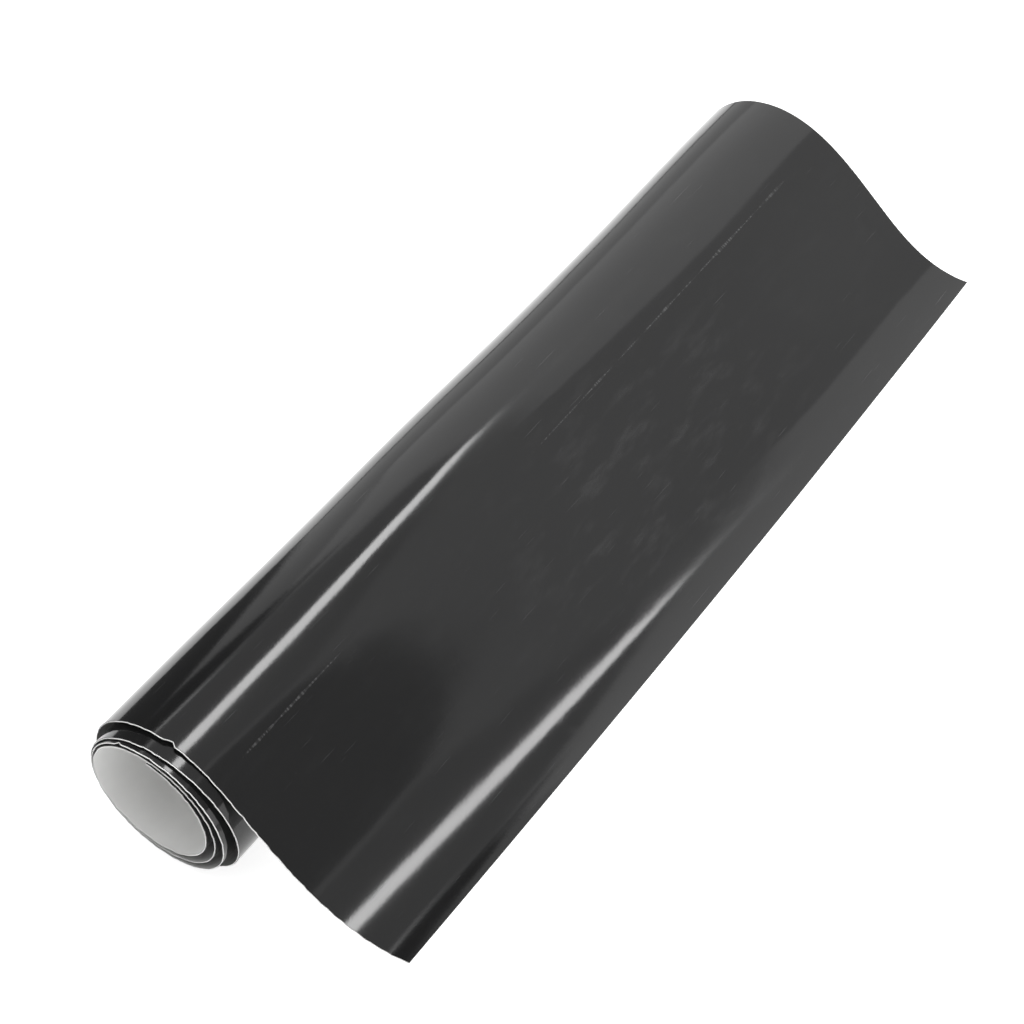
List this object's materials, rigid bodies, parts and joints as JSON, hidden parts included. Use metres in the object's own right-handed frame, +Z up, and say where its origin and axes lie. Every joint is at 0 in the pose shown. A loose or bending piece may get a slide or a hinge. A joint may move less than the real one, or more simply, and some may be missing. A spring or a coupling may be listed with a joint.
{
  "type": "roll of sign vinyl",
  "caption": "Loose coreless roll of gloss black self-adhesive sign vinyl on its paper release liner, its outer end lying open as a flap.",
  "frame": {"origin": "middle of the footprint, on the surface that the roll lies on", "axes": "+X from the coil towards the free edge of the flap, +Y along the coil, away from the end whose inner turns stand out, +Z up"},
  "size_m": [0.1004, 0.3108, 0.0493],
  "materials": {
    "film": "gloss black calendered vinyl film",
    "adhesive": "clear pressure-sensitive adhesive coat",
    "liner": "smooth white silicone-coated release paper"
  },
  "bodies": {
    "outer_turn": {"film_outer_turn": "film", "adhesive_outer_turn": "adhesive", "liner_outer_turn": "liner"},
    "second_turn": {"film_second_turn": "film", "adhesive_second_turn": "adhesive", "liner_second_turn": "liner"},
    "third_turn": {"film_third_turn": "film", "adhesive_third_turn": "adhesive", "liner_third_turn": "liner"},
    "inner_end": {"film_inner_end": "film", "adhesive_inner_end": "adhesive", "liner_inner_end": "liner"},
    "flap_slope": {"film_flap_slope": "film", "adhesive_flap_slope": "adhesive", "liner_flap_slope": "liner"},
    "flap_foot": {"film_flap_foot": "film", "adhesive_flap_foot": "adhesive", "liner_flap_foot": "liner"},
    "peel_edge": {"film_peel_edge": "film", "adhesive_peel_edge": "adhesive"}
  },
  "joints": [
    {"name": "flap_bend", "type": "hinge", "parent": "outer_turn", "child": "flap_slope", "pos_m": [-0.01276, 0, 0.04686], "axis": [0, -1, 0], "range_deg": [0, 40]},
    {"name": "foot_bend", "type": "hinge", "parent": "flap_slope", "child": "flap_foot", "pos_m": [0.00878, 0, 0.02394], "axis": [0, -1, 0], "range_deg": [0, 40]},
    {"name": "peel_bend", "type": "hinge", "parent": "flap_foot", "child": "peel_edge", "pos_m": [0.02674, 0, 0.00402], "axis": [0, -1, 0], "range_deg": [0, 110]},
    {"name": "second_turn_slide", "type": "slide", "parent": "outer_turn", "child": "second_turn", "axis": [0, -1, 0], "range_m": [-0.005, 0.012]},
    {"name": "third_turn_slide", "type": "slide", "parent": "second_turn", "child": "third_turn", "axis": [0, -1, 0], "range_m": [-0.005, 0.012]},
    {"name": "inner_end_bend", "type": "hinge", "parent": "third_turn", "child": "inner_end", "pos_m": [-0.0098, 0, 0.02115], "axis": [0, -1, 0], "range_deg": [0, 20], "stiffness_Nm_per_rad": 0.001, "springref_deg": -28.65}
  ],
  "couplings": [
    {"joint": "third_turn_slide", "follows": "second_turn_slide", "ratio": 1},
    {"joint": "foot_bend", "follows": "flap_bend", "ratio": 1}
  ]
}
